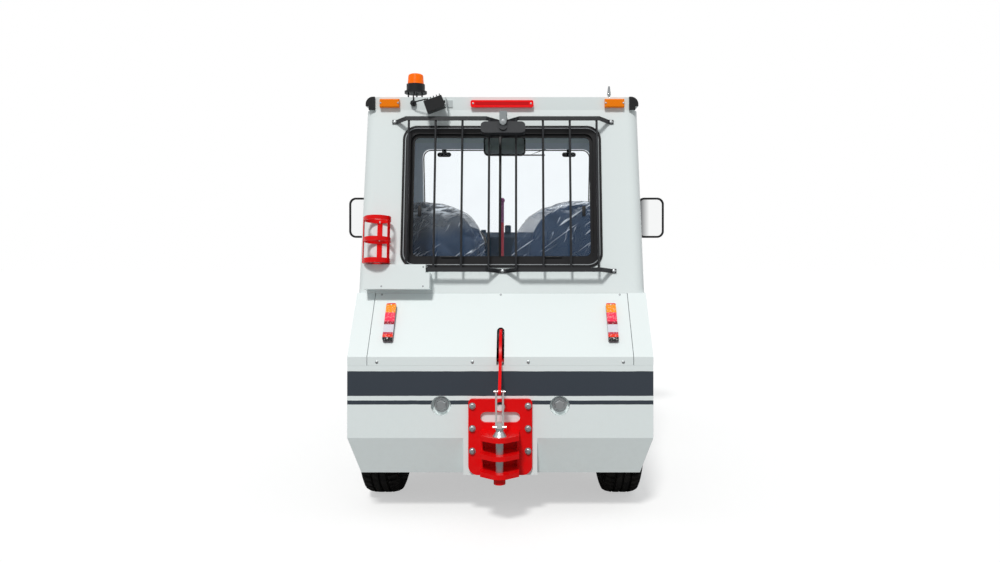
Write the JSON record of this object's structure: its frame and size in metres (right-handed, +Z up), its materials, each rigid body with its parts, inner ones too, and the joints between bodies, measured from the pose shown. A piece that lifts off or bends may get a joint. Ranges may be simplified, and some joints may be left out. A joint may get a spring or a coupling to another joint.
{
  "type": "airport baggage tug",
  "caption": "Compact four-wheel-drive airport baggage tug with a closed two-seat cab, barred rear window and stepped rear drawbar coupling.",
  "frame": {"origin": "on the ground under the middle of the box that holds the whole tug", "axes": "+Y is the driving direction, +X the driver's right-hand side, +Z up"},
  "size_m": [2.27, 3.28, 2.2839],
  "materials": {
    "body_white": "satin white paint",
    "counterweight_white": "satin white paint",
    "coupling_red": "gloss red paint",
    "frame_black": "satin black paint",
    "steel": "bare machined steel",
    "chrome": "plated spring on a white foot",
    "iron": "dark painted casting",
    "tyre": "black rubber",
    "rubber": "matt black rubber",
    "rim_white": "satin light gray paint",
    "window_glass": "clear tinted glass",
    "mirror_glass": "silvered glass",
    "lamp_lens": "coloured lens",
    "amber_lens": "amber lens",
    "clear_lens": "clear lens",
    "trim_black": "black plastic",
    "dash_gray": "dark plastic",
    "seat_cloth": "dark navy cloth",
    "floor_gray": "textured gray floor"
  },
  "bodies": {
    "chassis": {"antenna": "chrome", "beacon": "trim_black", "beacon_dome": "amber_lens", "brake_lamp": "lamp_lens", "cab_floor": "floor_gray", "cab_shell": "body_white", "chassis_frame": "frame_black", "dashboard": "dash_gray", "driveline": "iron", "extinguisher_holder": "coupling_red", "front_axle": "frame_black", "front_bumper": "frame_black", "front_coupling": "coupling_red", "front_wings": "body_white", "grille": "trim_black", "headlamps": "clear_lens", "hitch": "coupling_red", "hitch_mirror": "trim_black", "marker_lamps": "amber_lens", "mirror_panes": "mirror_glass", "nose_panel": "body_white", "quarter_windows": "window_glass", "rear_axle": "frame_black", "rear_box": "body_white", "rear_counterweight": "counterweight_white", "rear_cover": "body_white", "rear_quarters": "body_white", "rear_window": "window_glass", "rear_window_seal": "rubber", "roof": "body_white", "roof_end_caps": "trim_black", "seats": "seat_cloth", "side_mirrors": "trim_black", "sills": "body_white", "tail_lamps": "lamp_lens", "wheel_housings": "frame_black", "window_guard": "frame_black", "windscreen": "window_glass", "windscreen_fittings": "trim_black", "work_lamp": "frame_black"},
    "wheel_rear_left": {"tyre_rear_left": "tyre", "rim_rear_left": "rim_white"},
    "wheel_rear_right": {"tyre_rear_right": "tyre", "rim_rear_right": "rim_white"},
    "wheel_front_left": {"tyre_front_left": "tyre", "rim_front_left": "rim_white"},
    "wheel_front_right": {"tyre_front_right": "tyre", "rim_front_right": "rim_white"},
    "knuckle_left": {"knuckle_left": "frame_black"},
    "knuckle_right": {"knuckle_right": "frame_black"},
    "track_rod": {"track_rod": "frame_black"},
    "steering_wheel": {"steering_wheel": "rubber"},
    "door_left": {"door_left": "body_white", "door_glass_left": "window_glass"},
    "door_right": {"door_right": "body_white", "door_glass_right": "window_glass"},
    "bonnet": {"bonnet": "body_white"},
    "hitch_pin": {"hitch_pin": "steel"},
    "hitch_lever": {"hitch_lever": "coupling_red"}
  },
  "joints": [
    {"name": "wheel_rear_left_spin", "type": "hinge", "parent": "chassis", "child": "wheel_rear_left", "pos_m": [-0.63, -0.96, 0.36], "axis": [1, 0, 0], "continuous": true},
    {"name": "wheel_rear_right_spin", "type": "hinge", "parent": "chassis", "child": "wheel_rear_right", "pos_m": [0.63, -0.96, 0.36], "axis": [1, 0, 0], "continuous": true},
    {"name": "steer_left", "type": "hinge", "parent": "chassis", "child": "knuckle_left", "pos_m": [-0.518, 0.76, 0.36], "axis": [0, 0, 1], "range_deg": [-28, 28]},
    {"name": "steer_right", "type": "hinge", "parent": "chassis", "child": "knuckle_right", "pos_m": [0.518, 0.76, 0.36], "axis": [0, 0, 1], "range_deg": [-28, 28]},
    {"name": "wheel_front_left_spin", "type": "hinge", "parent": "knuckle_left", "child": "wheel_front_left", "pos_m": [-0.63, 0.76, 0.36], "axis": [1, 0, 0], "continuous": true},
    {"name": "wheel_front_right_spin", "type": "hinge", "parent": "knuckle_right", "child": "wheel_front_right", "pos_m": [0.63, 0.76, 0.36], "axis": [1, 0, 0], "continuous": true},
    {"name": "track_rod_ball", "type": "hinge", "parent": "knuckle_left", "child": "track_rod", "pos_m": [-0.518, 0.61, 0.275], "axis": [0, 0, 1], "range_deg": [-28, 28]},
    {"name": "steering_wheel_turn", "type": "hinge", "parent": "chassis", "child": "steering_wheel", "pos_m": [-0.34, 0.15, 1.365], "axis": [0, -0.5736, 0.8192], "range_deg": [-448, 448]},
    {"name": "door_left_hinge", "type": "hinge", "parent": "chassis", "child": "door_left", "pos_m": [-0.762, 0.303, 1.3], "axis": [0, 0, -1], "range_deg": [0, 70]},
    {"name": "door_right_hinge", "type": "hinge", "parent": "chassis", "child": "door_right", "pos_m": [0.762, 0.303, 1.3], "axis": [0, 0, 1], "range_deg": [0, 70]},
    {"name": "bonnet_hinge", "type": "hinge", "parent": "chassis", "child": "bonnet", "pos_m": [0, 0.58, 1.162], "axis": [1, 0, 0], "range_deg": [0, 55]},
    {"name": "coupling_lever_pivot", "type": "hinge", "parent": "chassis", "child": "hitch_lever", "pos_m": [0, -1.3, 0.7535], "axis": [-1, 0, 0], "range_deg": [0, 35.97]},
    {"name": "hitch_pin_lift", "type": "slide", "parent": "chassis", "child": "hitch_pin", "axis": [0, 0, 1], "range_m": [0, 0.187]}
  ],
  "couplings": [
    {"joint": "steer_right", "follows": "steer_left", "ratio": 1},
    {"joint": "track_rod_ball", "follows": "steer_left", "ratio": -1},
    {"joint": "steering_wheel_turn", "follows": "steer_left", "ratio": 16},
    {"joint": "hitch_pin_lift", "follows": "coupling_lever_pivot", "m_per_rad": 0.29785}
  ]
}
